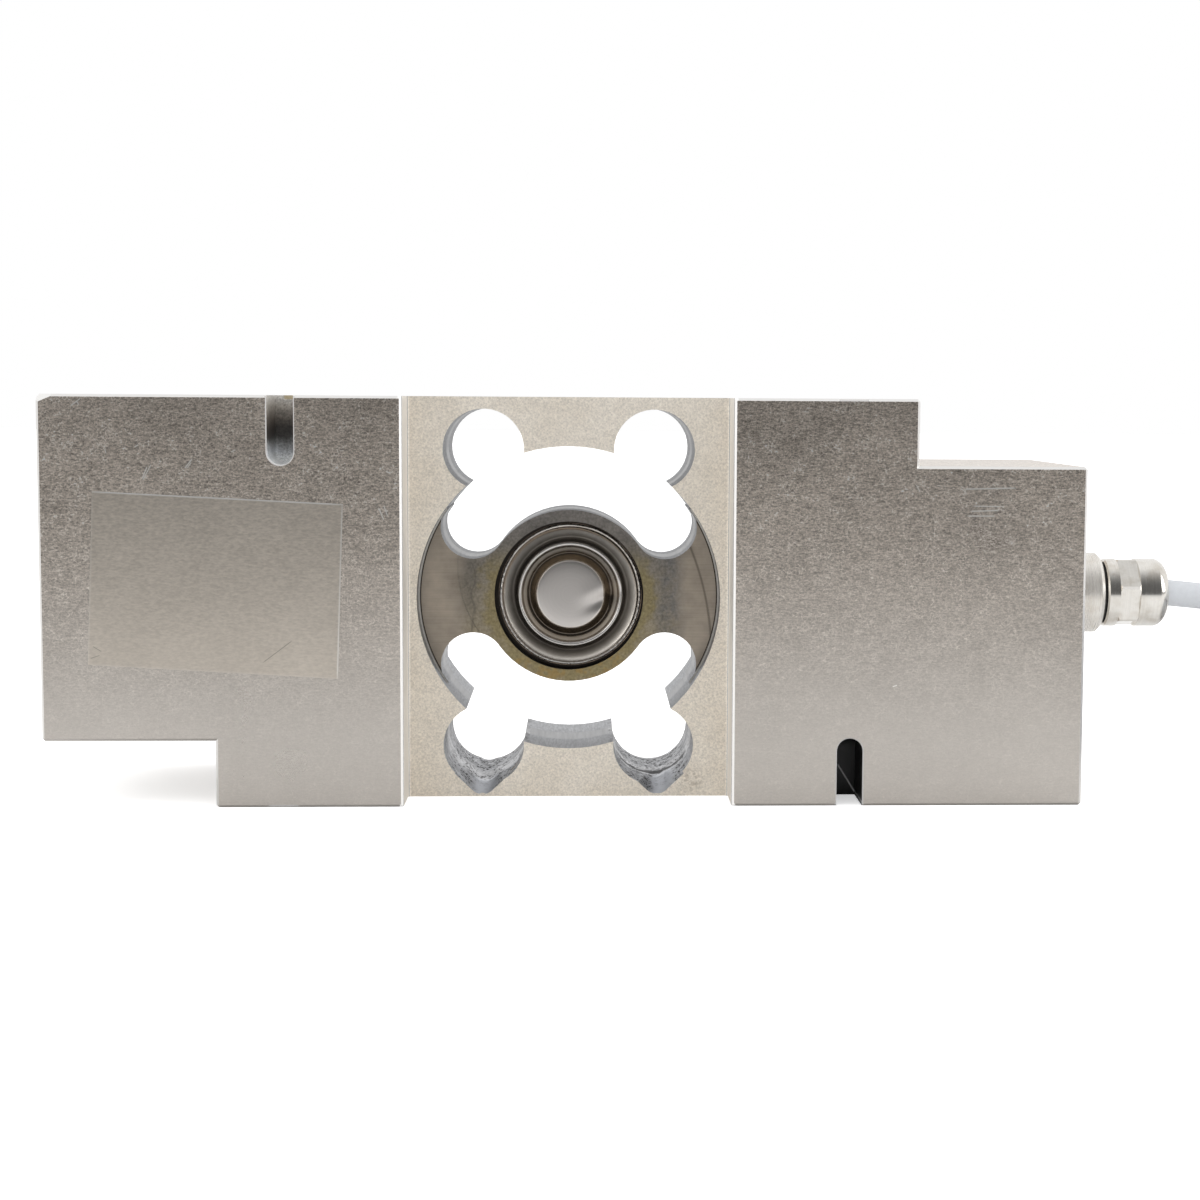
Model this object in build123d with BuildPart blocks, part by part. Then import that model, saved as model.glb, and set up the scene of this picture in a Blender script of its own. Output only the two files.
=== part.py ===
from build123d import *
import math
import os

# Single point load cell: a monoblock with a sealed measuring web, cable gland and cable.
# Millimetres. X runs along the block, the front is towards -Y, Z is up.
# The origin is the centre of the underside.

os.makedirs("parts", exist_ok=True)

# Monoblock
block_length = 240.0
block_height = 94.5
block_depth = 65.0
step_length = 39.25
step_height = 15.4
edge_break = 0.6
corner_facet = (4.7, 2.4, 2.0)

# Middle band between the end blocks
band_opening = 75.8
band_depth = 38.0
recess_fillet = 0.8

# Bores through the band
main_bore_r = 35.75
corner_hole_r = 9.5
corner_hole_x = 20.05
hinge_thickness = 2.8

# Measuring web across the main bore
web_depth = 26.0
disc_r = 20.5
window_end_angle = 35.8
ledge_width = 0.4
ledge_height = 0.5
relief_depth = 0.3
relief_right_r = 44.0
relief_right_shift = (-10.4, -8.0)
relief_left_r = 28.2
relief_left_shift = (1.7, 7.4)

# Welded cup seats in the disc, and the thin web between them
cup_seat_r = 17.7
cup_seat_depth = 2.6
gauge_pocket_r = 16.2
shear_web_thickness = 3.0

# Blind slots
slot_width = 6.0
slot_height = 15.8
slot_depth = 14.6
slot_from_end = 54.6
slot_runout_r = 5.0
slot_edge_break = 0.25

# Threaded holes in the top of the left block and the underside of the right block
bolt_hole_r = 4.25
bolt_hole_depth = 20.0
bolt_pitch_x = 50.0
bolt_pitch_y = 42.0
bolt_from_end = 43.0
bolt_countersink = 0.5

# Corrugated diaphragm
diaphragm_thickness = 0.5
button_lift = 0.75
cup_depth = 4.0
weld_bead_r = 0.6
cup_wave = [
    (5.6, 0.6),
    (7.6, 0.2),
    (8.6, -0.7),
    (9.5, -1.5),
    (10.4, -1.5),
    (11.4, -0.5),
    (12.0, 0.2),
    (12.8, 0.2),
    (13.4, -1.0),
    (14.4, -1.5),
    (15.4, -0.8),
]
running_clearance = 0.05

# Electronics bore in the right block, and the channel from the gauges to it
electronics_bore_r = 8.0
electronics_bore_depth = 44.0
channel_r = 3.0

# Gauges and their terminal strips
gauge_size = 9.0
gauge_thickness = 0.3
terminal_length = 8.0
terminal_width = 3.0
terminal_thickness = 0.8
terminal_drop = 10.0
lead_r = 0.5

# Compensation board
board_length = 23.0
board_width = 14.6
board_thickness = 1.6
board_from_bore_end = 6.0
pad_pitch = 1.6
carrier_wall = 1.0
resistor_length = 3.2
resistor_width = 1.6
resistor_thickness = 0.6

# Cable gland
collar_r = 9.8
collar_length = 10.4
collar_break = 0.9
spigot_length = 12.0
core_hole_r = 4.8
seal_gap = 1.0
seal_outer_r = 7.5
stub_r = 5.95
stub_length = 13.0
flange_r = 8.35
flange_length = 3.0
neck_r = 6.8
neck_length = 7.0
seat_r = 5.3
seat_depth = 1.4
hex_flats = 15.3
hex_length = 5.0
hex_corner_r = 8.65
hex_turn = 48.0
dome_r = 8.35
dome_length = 7.6
dome_mouth_r = 5.2
dome_lip = 1.4
seal_wall = 1.0
claw_slots = 8
claw_slot_width = 0.8

# Cable
cable_d = 6.5
core_count = 6
core_r = 0.6
core_circle_r = 1.9
ferrule_r = 0.9
ferrule_length = 8.0

# Put-away coil of the cable, on the surface to the right
coil_x = 232.0
coil_y = 15.0
coil_layers = 4
coil_turns_wide = 3
coil_mean_r = 38.0
coil_slack = 1.6
tail_inset = 0.3
tail_length = 24.0
fan_length = 17.0
fan_pitch = 2.6
fan_turn = 4.0

# Hand filing below the two lower corner holes
filing_half_angle = 46.5
filing_nose_r = 3.4
filing_left_x = -20.4
filing_right_x = 20.9
filing_right_reach = 21.5

mid_z = block_height / 2
corner_hole_z = mid_z - hinge_thickness - corner_hole_r
half_length = block_length / 2
half_opening = band_opening / 2
cable_r = cable_d / 2
web_face = web_depth / 2
shear_face = shear_web_thickness / 2
block_span = half_length - half_opening
block_mid_x = (half_length + half_opening) / 2
gland_axis = Axis((0, 0, mid_z), (1, 0, 0))
gland_plane = Plane(origin=(0, 0, mid_z), x_dir=(1, 0, 0), z_dir=(0, -1, 0))
web_axis = Axis((0, 0, mid_z), (0, 1, 0))
facing = {"front": 1, "rear": -1}
relief_right_centre = (relief_right_shift[0], mid_z + relief_right_shift[1])
relief_left_centre = (relief_left_shift[0], mid_z + relief_left_shift[1])


# Tool for one blind slot in the frame of the top slot: half-round below, running out
# on an arc towards the face.
with BuildPart() as slot_tool:
    with BuildSketch(Plane.XZ.offset(block_depth / 2 - slot_depth)):
        with Locations((0, slot_width / 2 - slot_height)):
            Circle(slot_width / 2)
        with Locations((0, (slot_width / 2 - slot_height) / 2)):
            Rectangle(slot_width, slot_height - slot_width / 2)
    extrude(amount=slot_depth)
    with BuildSketch(Plane.YZ) as runout:
        with BuildLine():
            Polyline(
                (-block_depth / 2, 0),
                (slot_depth - block_depth / 2, 0),
                (slot_depth - block_depth / 2, -slot_height),
                (-block_depth / 2, -slot_height),
                close=True,
            )
        make_face()
        fillet(runout.vertices().sort_by(Axis.Y)[:2].sort_by(Axis.X)[-1:], slot_runout_r)
    extrude(amount=slot_width, both=True, mode=Mode.INTERSECT)

slot_x = half_length - slot_from_end
top_slot = slot_tool.part.moved(Location((-slot_x, 0, block_height)))
bottom_slot = slot_tool.part.mirror(Plane.XY).moved(Location((slot_x, 0, 0)))


def filing(centre_x, reach, run_out):
    """A hand-filed V, its flanks tangent to the corner hole at the front and rising inwards."""
    angle = math.radians(filing_half_angle)
    flank_x = corner_hole_r * math.cos(angle)
    flank_drop = corner_hole_r * math.sin(angle)
    apex_drop = corner_hole_r / math.sin(angle)
    front_y = -band_depth / 2 - 0.5
    with BuildPart() as cut:
        for y, lift in ((front_y, 0.0), (front_y + reach, run_out)):
            centre_z = mid_z - corner_hole_z + lift
            with BuildSketch(Plane.XZ.offset(-y)) as section:
                with BuildLine():
                    Polyline(
                        (centre_x, centre_z),
                        (centre_x - flank_x, centre_z - flank_drop),
                        (centre_x, centre_z - apex_drop),
                        (centre_x + flank_x, centre_z - flank_drop),
                        close=True,
                    )
                make_face()
                fillet(section.vertices().sort_by(Axis.Y)[:1], filing_nose_r)
        loft()
    return cut.part


with BuildPart() as spring_body:
    # End blocks with their opposite steps
    with BuildSketch(Plane.XZ):
        for side in (-1, 1):
            with Locations((side * block_mid_x, mid_z)):
                Rectangle(block_span, block_height)
            step_x = side * (half_length - step_length / 2)
            with Locations((step_x, mid_z + side * (mid_z - step_height / 2))):
                Rectangle(step_length, step_height, mode=Mode.SUBTRACT)
    extrude(amount=block_depth / 2, both=True)
    outline_edges = spring_body.faces().filter_by(Axis.Y).edges()
    outer_corners = spring_body.edges().filter_by(Axis.Y).filter_by(
        lambda e: abs(e.center().X) > half_opening + 1
        and not (
            abs(abs(e.center().X) - half_length + step_length) < 0.01
            and 1 < e.center().Z < block_height - 1
        )
    )
    chamfer(outline_edges + outer_corners, edge_break)

    # Thinner band, flush with the blocks above and below
    with BuildSketch(Plane.XZ):
        with Locations((0, mid_z)):
            Rectangle(band_opening + 2, block_height)
    extrude(amount=band_depth / 2, both=True)
    recess_corners = spring_body.edges().filter_by(Axis.Z).filter_by(
        lambda e: abs(abs(e.center().X) - half_opening) < 0.01
        and abs(abs(e.center().Y) - band_depth / 2) < 0.01
    )
    fillet(recess_corners, recess_fillet)

    # Main bore and the four corner holes that leave the thin hinges
    with BuildSketch(Plane.XZ):
        with Locations((0, mid_z)):
            Circle(main_bore_r)
            with GridLocations(2 * corner_hole_x, 2 * corner_hole_z, 2, 2):
                Circle(corner_hole_r)
    extrude(amount=band_depth, both=True, mode=Mode.SUBTRACT)

    # Web with its disc: what two arc-shaped windows leave of a plate across the bore
    window_outer_r = main_bore_r + 2
    window_end_r = (main_bore_r - disc_r) / 2
    window_mid_r = (main_bore_r + disc_r) / 2
    with BuildSketch(Plane.XZ):
        with Locations((0, mid_z)):
            Circle(main_bore_r + 1)
        for start in (window_end_angle, 180 + window_end_angle):
            sweep_angle = 180 - 2 * window_end_angle
            with BuildLine() as window_outline:
                outer = CenterArc((0, mid_z), window_outer_r, start, sweep_angle)
                inner = CenterArc((0, mid_z), disc_r, start, sweep_angle)
                Line(outer @ 0, inner @ 0)
                Line(outer @ 1, inner @ 1)
            make_face(mode=Mode.SUBTRACT)
            for angle in (start, start + sweep_angle):
                with Locations(
                    (
                        window_mid_r * math.cos(math.radians(angle)),
                        mid_z + window_mid_r * math.sin(math.radians(angle)),
                    )
                ):
                    Circle(window_end_r + 0.03, mode=Mode.SUBTRACT)
    extrude(amount=web_depth / 2, both=True)

    # Narrow ledge where the web meets the bore wall
    with BuildSketch(Plane.XZ):
        for start in (-window_end_angle, 180 - window_end_angle):
            with BuildLine():
                wall = CenterArc((0, mid_z), main_bore_r + 1, start, 2 * window_end_angle)
                lip = CenterArc((0, mid_z), main_bore_r - ledge_width, start, 2 * window_end_angle)
                Line(wall @ 0, lip @ 0)
                Line(wall @ 1, lip @ 1)
            make_face()
    extrude(amount=web_face + ledge_height, both=True)

    # Shallow turned relief over the front of the disc and the right neck
    with BuildSketch(Plane.XZ.offset(web_face)):
        with BuildSketch(mode=Mode.PRIVATE) as relief_right:
            with Locations(relief_right_centre):
                Circle(relief_right_r)
            with Locations((main_bore_r, mid_z)):
                Rectangle(2 * main_bore_r, 4 * main_bore_r, mode=Mode.INTERSECT)
        with BuildSketch(mode=Mode.PRIVATE) as relief_left:
            with Locations(relief_left_centre):
                Circle(relief_left_r)
            with Locations((-main_bore_r, mid_z)):
                Rectangle(2 * main_bore_r, 4 * main_bore_r, mode=Mode.INTERSECT)
        add([relief_right.sketch, relief_left.sketch])
        with Locations((0, mid_z)):
            Circle(main_bore_r - ledge_width, mode=Mode.INTERSECT)
    extrude(amount=-relief_depth, mode=Mode.SUBTRACT)

    # Cup seats, gauge pockets and the shear web between them
    for sign in facing.values():
        with BuildSketch(Plane.XZ.offset(sign * web_face)):
            with Locations((0, mid_z)):
                Circle(cup_seat_r)
        extrude(amount=-sign * cup_seat_depth, mode=Mode.SUBTRACT)
        with BuildSketch(Plane.XZ.offset(sign * web_face)):
            with Locations((0, mid_z)):
                Circle(gauge_pocket_r)
        extrude(amount=-sign * (web_face - shear_face), mode=Mode.SUBTRACT)

    # Slots
    add([top_slot, bottom_slot], mode=Mode.SUBTRACT)
    slot_rims = spring_body.faces().sort_by(Axis.Y)[:2].edges().filter_by(
        lambda e: abs(abs(e.center().X) - slot_x) < slot_width / 2 + 0.1
        and abs(abs(e.center().Z - mid_z) - mid_z) > edge_break + 0.1
        and abs(abs(e.center().Z - mid_z) - mid_z) < slot_height + 0.1
    )
    chamfer(slot_rims, slot_edge_break)

    # Threaded holes, drawn at their tapping size
    bolt_x = half_length - bolt_from_end
    for sign, z in ((-1, block_height), (1, 0)):
        face_plane = Plane(origin=(sign * bolt_x, 0, z), x_dir=(1, 0, 0), z_dir=(0, 0, -sign))
        with BuildSketch(face_plane):
            with GridLocations(bolt_pitch_x, bolt_pitch_y, 2, 2):
                Circle(bolt_hole_r)
        extrude(amount=-bolt_hole_depth, mode=Mode.SUBTRACT)
        rims = spring_body.edges().filter_by(GeomType.CIRCLE).filter_by(
            lambda e: abs(e.center().Z - z) < 0.01 and abs(e.radius - bolt_hole_r) < 0.01
        )
        chamfer(rims, bolt_countersink)

    # Electronics bore from the right end, and the channel on to the gauge pockets
    with BuildSketch(Plane.YZ.offset(half_length)):
        with Locations((0, mid_z)):
            Circle(electronics_bore_r)
    extrude(amount=-electronics_bore_depth, mode=Mode.SUBTRACT)
    with BuildSketch(Plane.YZ.offset(half_length - electronics_bore_depth)):
        with Locations((0, mid_z)):
            Circle(channel_r)
    extrude(
        amount=-(half_length - electronics_bore_depth - gauge_pocket_r + 1.0),
        mode=Mode.SUBTRACT,
    )

    # Filed trimming of the two lower hinges
    add(filing(filing_left_x, band_depth + 1, hinge_thickness - 0.8), mode=Mode.SUBTRACT)
    add(filing(filing_right_x, filing_right_reach, hinge_thickness - 0.2), mode=Mode.SUBTRACT)

    # Knocked corner at the top left of the front
    facet_x, facet_y, facet_z = corner_facet
    facet_plane = Plane(
        origin=(-half_length + facet_x, -block_depth / 2, block_height),
        x_dir=(-facet_x, facet_y, 0),
        z_dir=(-1 / facet_x, -1 / facet_y, 1 / facet_z),
    )
    with BuildSketch(facet_plane):
        Rectangle(6 * facet_x, 6 * facet_x)
    extrude(amount=2 * facet_x, mode=Mode.SUBTRACT)

spring_body.part.label = "spring_body"
export_step(spring_body.part, "parts/spring_body.step")


# Corrugated cups welded into the disc, front and rear
seat_face = web_face - cup_seat_depth
for name, sign in facing.items():
    outer_r = cup_seat_r - running_clearance
    with BuildPart() as diaphragm:
        for lift, mode in ((diaphragm_thickness, Mode.ADD), (0.0, Mode.SUBTRACT)):
            base = seat_face + lift
            with BuildSketch(Plane(origin=(0, 0, mid_z))):
                with BuildLine():
                    Polyline(
                        (0, -sign * (base + button_lift)),
                        *[(r, -sign * (base + rise)) for r, rise in cup_wave],
                        (gauge_pocket_r, -sign * base),
                        (gauge_pocket_r, -sign * (seat_face - cup_depth)),
                        (0, -sign * (seat_face - cup_depth)),
                        close=True,
                    )
                make_face()
            revolve(axis=web_axis, mode=mode)
        with BuildSketch(Plane(origin=(0, 0, mid_z))):
            with Locations(((gauge_pocket_r + outer_r) / 2, -sign * (seat_face + diaphragm_thickness / 2))):
                Rectangle(outer_r - gauge_pocket_r, diaphragm_thickness)
            with Locations((outer_r - weld_bead_r, -sign * (seat_face + weld_bead_r))):
                Circle(weld_bead_r)
        revolve(axis=web_axis)
    diaphragm.part.label = f"{name}_diaphragm"
    export_step(diaphragm.part, f"parts/{name}_diaphragm.step")


# Foil gauges, terminal strips and gauge wires on each face of the shear web
board_start = half_length - electronics_bore_depth + board_from_bore_end
board_top = mid_z + board_thickness
for name, sign in facing.items():
    with BuildPart() as gauge:
        with BuildSketch(Plane.XZ.offset(sign * shear_face)):
            with Locations((0, mid_z)):
                Rectangle(gauge_size, gauge_size, rotation=45)
        extrude(amount=sign * gauge_thickness)
    gauge.part.label = f"{name}_gauge"
    export_step(gauge.part, f"parts/{name}_gauge.step")

    with BuildPart() as terminals:
        with BuildSketch(Plane.XZ.offset(sign * shear_face)):
            with Locations((0, mid_z - terminal_drop)):
                Rectangle(terminal_length, terminal_width)
        extrude(amount=sign * terminal_thickness)
    terminals.part.label = f"{name}_terminals"
    export_step(terminals.part, f"parts/{name}_terminals.step")

    strip_y = -sign * (shear_face + terminal_thickness + lead_r)
    channel_y = -sign * (shear_face + lead_r + 0.3)
    with BuildPart() as leads:
        with BuildLine() as lead_path:
            FilletPolyline(
                (0, strip_y, mid_z - terminal_drop),
                (5.5, strip_y, mid_z - terminal_drop + 1.0),
                (13.0, channel_y, mid_z),
                (board_start - 4.5, channel_y, mid_z),
                (board_start - 0.9, channel_y * 1.6, board_top + lead_r),
                (board_start + 2.5, channel_y * 1.6, board_top + lead_r),
                radius=1.0,
            )
        with BuildSketch(Plane(origin=lead_path.wire() @ 0, z_dir=lead_path.wire() % 0)):
            Circle(lead_r)
        sweep()
    leads.part.label = f"{name}_leads"
    export_step(leads.part, f"parts/{name}_leads.step")


# Half sleeve that carries the board in its bore
carrier_r = electronics_bore_r - running_clearance
with BuildPart() as board_carrier:
    with BuildSketch(Plane.YZ.offset(board_start)):
        with Locations((0, mid_z)):
            Circle(carrier_r)
            Circle(carrier_r - carrier_wall, mode=Mode.SUBTRACT)
        with Locations((0, mid_z + carrier_r / 2)):
            Rectangle(2 * carrier_r, carrier_r, mode=Mode.SUBTRACT)
    extrude(amount=board_length)
board_carrier.part.label = "board_carrier"
export_step(board_carrier.part, "parts/board_carrier.step")

with BuildPart() as balance_board:
    with BuildSketch(Plane.XY.offset(mid_z)):
        with Locations((board_start + board_length / 2, 0)):
            RectangleRounded(board_length, board_width, 0.6)
    extrude(amount=board_thickness)
balance_board.part.label = "balance_board"
export_step(balance_board.part, "parts/balance_board.step")

with BuildPart() as balance_resistors:
    with BuildSketch(Plane.XY.offset(board_top)):
        with Locations((board_start + board_length / 2, 0)):
            with GridLocations(2 * resistor_length, 2.2 * resistor_width, 2, 3):
                Rectangle(resistor_length, resistor_width)
    extrude(amount=resistor_thickness)
balance_resistors.part.label = "balance_resistors"
export_step(balance_resistors.part, "parts/balance_resistors.step")


# Round collar of the gland adapter, with its spigot in the electronics bore
collar_end = half_length + collar_length
stub_start = collar_end + seal_gap - stub_length
with BuildPart() as gland_adapter:
    with BuildSketch(gland_plane):
        with BuildLine():
            Polyline(
                (half_length - spigot_length, core_hole_r),
                (half_length - spigot_length, electronics_bore_r - running_clearance),
                (half_length, electronics_bore_r - running_clearance),
                (half_length, collar_r),
                (collar_end - collar_break, collar_r),
                (collar_end, collar_r - collar_break),
                (collar_end, stub_r + running_clearance),
                (stub_start - 1.0, stub_r + running_clearance),
                (stub_start - 1.0, core_hole_r),
                close=True,
            )
        make_face()
    revolve(axis=gland_axis)
gland_adapter.part.label = "gland_adapter"
export_step(gland_adapter.part, "parts/gland_adapter.step")

with BuildPart() as adapter_seal:
    with BuildSketch(gland_plane):
        with Locations((collar_end + seal_gap / 2, (seal_outer_r + stub_r + running_clearance) / 2)):
            RectangleRounded(seal_gap, seal_outer_r - stub_r - running_clearance, 0.3)
    revolve(axis=gland_axis)
adapter_seal.part.label = "adapter_seal"
export_step(adapter_seal.part, "parts/adapter_seal.step")


# Gland body: threaded stub, round flange, and the neck that takes the dome nut
flange_start = collar_end + seal_gap
flange_end = flange_start + flange_length
neck_end = flange_end + neck_length
seat_start = flange_end - seat_depth
entry_r = cable_r + 0.35
with BuildPart() as gland_body:
    with BuildSketch(gland_plane):
        with BuildLine():
            Polyline(
                (stub_start, entry_r),
                (stub_start, stub_r),
                (flange_start, stub_r),
                (flange_start, flange_r - 0.4),
                (flange_start + 0.4, flange_r),
                (flange_end, flange_r),
                (flange_end, neck_r),
                (neck_end, neck_r),
                (neck_end, seat_r),
                (seat_start, seat_r),
                (seat_start, entry_r),
                close=True,
            )
        make_face()
    revolve(axis=gland_axis)
gland_body.part.label = "gland_body"
export_step(gland_body.part, "parts/gland_body.step")

seal_r = cable_r + seal_wall
with BuildPart() as gland_seal:
    with BuildSketch(gland_plane):
        with BuildLine():
            Polyline(
                (seat_start, cable_r),
                (seat_start, seal_r),
                (neck_end, seal_r),
                (neck_end + 0.6, seal_r - 0.5),
                (neck_end + 0.6, cable_r),
                close=True,
            )
        make_face()
    revolve(axis=gland_axis)
gland_seal.part.label = "gland_seal"
export_step(gland_seal.part, "parts/gland_seal.step")

claw_end = neck_end + 1.4
with BuildPart() as clamping_claw:
    with BuildSketch(gland_plane):
        with BuildLine():
            Polyline(
                (seat_start, seal_r),
                (seat_start, seat_r - running_clearance),
                (claw_end - 0.5, seat_r - running_clearance),
                (claw_end, seat_r - 0.5),
                (claw_end, seal_r),
                close=True,
            )
        make_face()
    revolve(axis=gland_axis)
    with BuildSketch(Plane.YZ.offset(flange_end + 1.0)):
        with Locations((0, mid_z)):
            with PolarLocations(seat_r, claw_slots):
                Rectangle(4.0, claw_slot_width)
    extrude(amount=neck_length + 2, mode=Mode.SUBTRACT)
clamping_claw.part.label = "clamping_claw"
export_step(clamping_claw.part, "parts/clamping_claw.step")


# Dome nut: milled flats at its root, a rounded cap, and a mouth round the cable
hex_end = flange_end + hex_length
dome_end = hex_end + dome_length
mouth_r = cable_r + 0.2
with BuildPart() as dome_nut:
    with BuildSketch(gland_plane):
        with BuildLine():
            crown = RadiusArc(
                (dome_end - 2.6, dome_r), (dome_end, dome_mouth_r), 3.6, mode=Mode.PRIVATE
            )
            add(crown)
            Polyline(
                crown @ 1,
                (dome_end, mouth_r),
                (dome_end - dome_lip, mouth_r),
                (claw_end + 0.1, seat_r),
                (neck_end + 0.6, neck_r + running_clearance),
                (flange_end, neck_r + running_clearance),
                (flange_end, hex_corner_r - 0.3),
                (flange_end + 0.3, hex_corner_r),
                (hex_end - 0.3, hex_corner_r),
                (hex_end, dome_r),
                crown @ 0,
            )
        make_face()
    revolve(axis=gland_axis)
    with BuildSketch(Plane.YZ.offset(flange_end)):
        with Locations((0, mid_z)):
            Circle(hex_corner_r + 1)
            RegularPolygon(
                hex_flats / 2, 6, major_radius=False, rotation=hex_turn, mode=Mode.SUBTRACT
            )
    extrude(amount=hex_length, mode=Mode.SUBTRACT)
dome_nut.part.label = "dome_nut"
export_step(dome_nut.part, "parts/dome_nut.step")


# Cable: the sheath through the gland, and its cores on to the board
entry_start = half_length - spigot_length + 8.0
with BuildPart() as cable_entry:
    with BuildSketch(Plane.YZ.offset(entry_start)):
        with Locations((0, mid_z)):
            Circle(cable_r)
    extrude(amount=dome_end - entry_start)
cable_entry.part.label = "cable_entry"
export_step(cable_entry.part, "parts/cable_entry.step")

board_end = board_start + board_length


def core_places():
    """Centres of the cores round the cable's axis, from the -Y side to the +Y side."""
    turns = [2 * math.pi * i / core_count for i in range(core_count)]
    places = [(core_circle_r * math.cos(turn), core_circle_r * math.sin(turn)) for turn in turns]
    return sorted(places, key=lambda place: (round(place[0], 3), place[1]))


with BuildPart() as inner_cores:
    for i, (core_y, core_lift) in enumerate(core_places()):
        pad_y = (i - (core_count - 1) / 2) * pad_pitch
        core_z = mid_z + core_lift
        with BuildLine() as core_path:
            FilletPolyline(
                (entry_start, core_y, core_z),
                (entry_start - 4.0, core_y, core_z),
                (board_end + 1.0, pad_y, board_top + core_r),
                (board_end - 3.0, pad_y, board_top + core_r),
                radius=1.0,
            )
        with BuildSketch(Plane(origin=core_path.wire() @ 0, z_dir=core_path.wire() % 0)):
            Circle(core_r)
        sweep(path=core_path.wire())
inner_cores.part.label = "inner_cores"
export_step(inner_cores.part, "parts/inner_cores.step")


# Free cable: out of the dome nut, down in a long bend, and onto the top of its coil
coil_half_width = coil_turns_wide * cable_d / 2
outer_turn_r = coil_mean_r + coil_half_width - cable_r + coil_slack
coil_outer_r = outer_turn_r + cable_r
coil_inner_r = coil_mean_r - coil_half_width - coil_slack
coil_height = coil_layers * cable_d
cable_route = [
    (dome_end, 0.0, mid_z),
    (dome_end + 8.0, 0.0, mid_z),
    (dome_end + 23.0, -2.5, mid_z - 2.25),
    (dome_end + 38.0, -8.5, mid_z - 6.75),
    (coil_x - 33.0, coil_y - 32.0, coil_height + 9.0),
    (coil_x - 20.0, coil_y - 39.5, coil_height + 4.75),
]


def bend_radii(route):
    """An arc for each corner, as large as its two runs allow."""
    radii = []
    for before, corner, after in zip(route, route[1:], route[2:]):
        incoming = Vector(*corner) - Vector(*before)
        outgoing = Vector(*after) - Vector(*corner)
        turn = math.radians(incoming.get_angle(outgoing))
        shorter = min(incoming.length, outgoing.length)
        radii.append(0.45 * shorter / math.tan(turn / 2))
    return radii


cable_radii = bend_radii(cable_route)
print("cable bend radii", [round(r, 1) for r in cable_radii])
with BuildPart() as cable:
    with BuildLine() as cable_path:
        FilletPolyline(*cable_route, radius=cable_radii)
    with BuildSketch(Plane(origin=cable_path.wire() @ 0, z_dir=cable_path.wire() % 0)):
        Circle(cable_r)
    sweep(path=cable_path.wire())
print("cable length", round(cable_path.wire().length, 1), "volume", round(cable.part.volume, 1))
cable.part.label = "cable"
export_step(cable.part, "parts/cable.step")

# The coil as one closed ring, with the cable's way onto it and its end beyond it
tail_y = coil_y + outer_turn_r - tail_inset
tail_z = cable_r + tail_inset / 2
tail_end_x = coil_x - tail_length
last = Vector(*cable_route[-1])
heading = (last - Vector(*cable_route[-2])).normalized()
coil_centre = (coil_x, coil_y, 0)
with BuildPart() as cable_coil:
    with BuildLine() as onto_path:
        onto = [
            tuple(last),
            tuple(last + heading * 9.0),
            (coil_x + 2.0, coil_y - outer_turn_r, coil_height),
            (coil_x + 14.0, coil_y - outer_turn_r + 2.5, coil_height - cable_r),
        ]
        FilletPolyline(*onto, radius=bend_radii(onto))
    with BuildSketch(Plane(origin=onto_path.wire() @ 0, z_dir=onto_path.wire() % 0)):
        Circle(cable_r)
    sweep(path=onto_path.wire())
    with BuildSketch(Plane.YZ.offset(tail_end_x)):
        with Locations((tail_y, tail_z)):
            Circle(cable_r)
    extrude(amount=coil_x - tail_end_x)
    with BuildSketch(Plane(origin=coil_centre, x_dir=(1, 0, 0), z_dir=(0, -1, 0))):
        with Locations(((coil_inner_r + coil_outer_r) / 2, coil_height / 2)):
            RectangleRounded(coil_outer_r - coil_inner_r, coil_height, cable_r * 0.9)
    revolve(axis=Axis(coil_centre, (0, 0, 1)))
cable_coil.part.label = "cable_coil"
export_step(cable_coil.part, "parts/cable_coil.step")


# Stripped far end: the cores fan out over the surface, each with a ferrule
core_ends = []
fan_end_x = tail_end_x - fan_length - 5.0
with BuildPart() as cable_cores:
    for i, (core_y, core_lift) in enumerate(core_places()):
        core_z = tail_z + core_lift
        end_y = tail_y - fan_turn + (i - (core_count - 1) / 2) * fan_pitch
        core_ends.append(end_y)
        with BuildLine() as core_path:
            FilletPolyline(
                (tail_end_x, tail_y + core_y, core_z),
                (tail_end_x - 5.0, tail_y + core_y, core_z),
                (tail_end_x - fan_length, end_y, ferrule_r),
                (fan_end_x, end_y, ferrule_r),
                radius=3.0,
            )
        with BuildSketch(Plane(origin=core_path.wire() @ 0, z_dir=core_path.wire() % 0)):
            Circle(core_r)
        sweep(path=core_path.wire())
cable_cores.part.label = "cable_cores"
export_step(cable_cores.part, "parts/cable_cores.step")

with BuildPart() as core_ferrules:
    for end_y in core_ends:
        with BuildSketch(Plane.YZ.offset(fan_end_x)):
            with Locations((end_y, ferrule_r)):
                Circle(ferrule_r)
        extrude(amount=-ferrule_length)
core_ferrules.part.label = "core_ferrules"
export_step(core_ferrules.part, "parts/core_ferrules.step")
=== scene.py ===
import bpy
import math
from mathutils import Matrix, Vector, noise


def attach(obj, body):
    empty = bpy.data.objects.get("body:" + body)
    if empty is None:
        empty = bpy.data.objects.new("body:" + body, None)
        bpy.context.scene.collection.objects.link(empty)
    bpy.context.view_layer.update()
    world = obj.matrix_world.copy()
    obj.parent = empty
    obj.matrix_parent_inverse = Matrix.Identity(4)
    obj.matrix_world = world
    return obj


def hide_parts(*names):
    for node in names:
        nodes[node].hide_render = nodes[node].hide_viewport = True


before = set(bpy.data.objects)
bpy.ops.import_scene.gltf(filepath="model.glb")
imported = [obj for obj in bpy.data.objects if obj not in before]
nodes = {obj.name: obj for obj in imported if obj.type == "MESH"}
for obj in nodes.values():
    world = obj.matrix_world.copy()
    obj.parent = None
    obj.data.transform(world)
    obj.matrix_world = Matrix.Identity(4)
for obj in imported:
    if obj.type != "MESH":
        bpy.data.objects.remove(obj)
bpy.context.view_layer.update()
scene = bpy.context.scene

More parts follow.
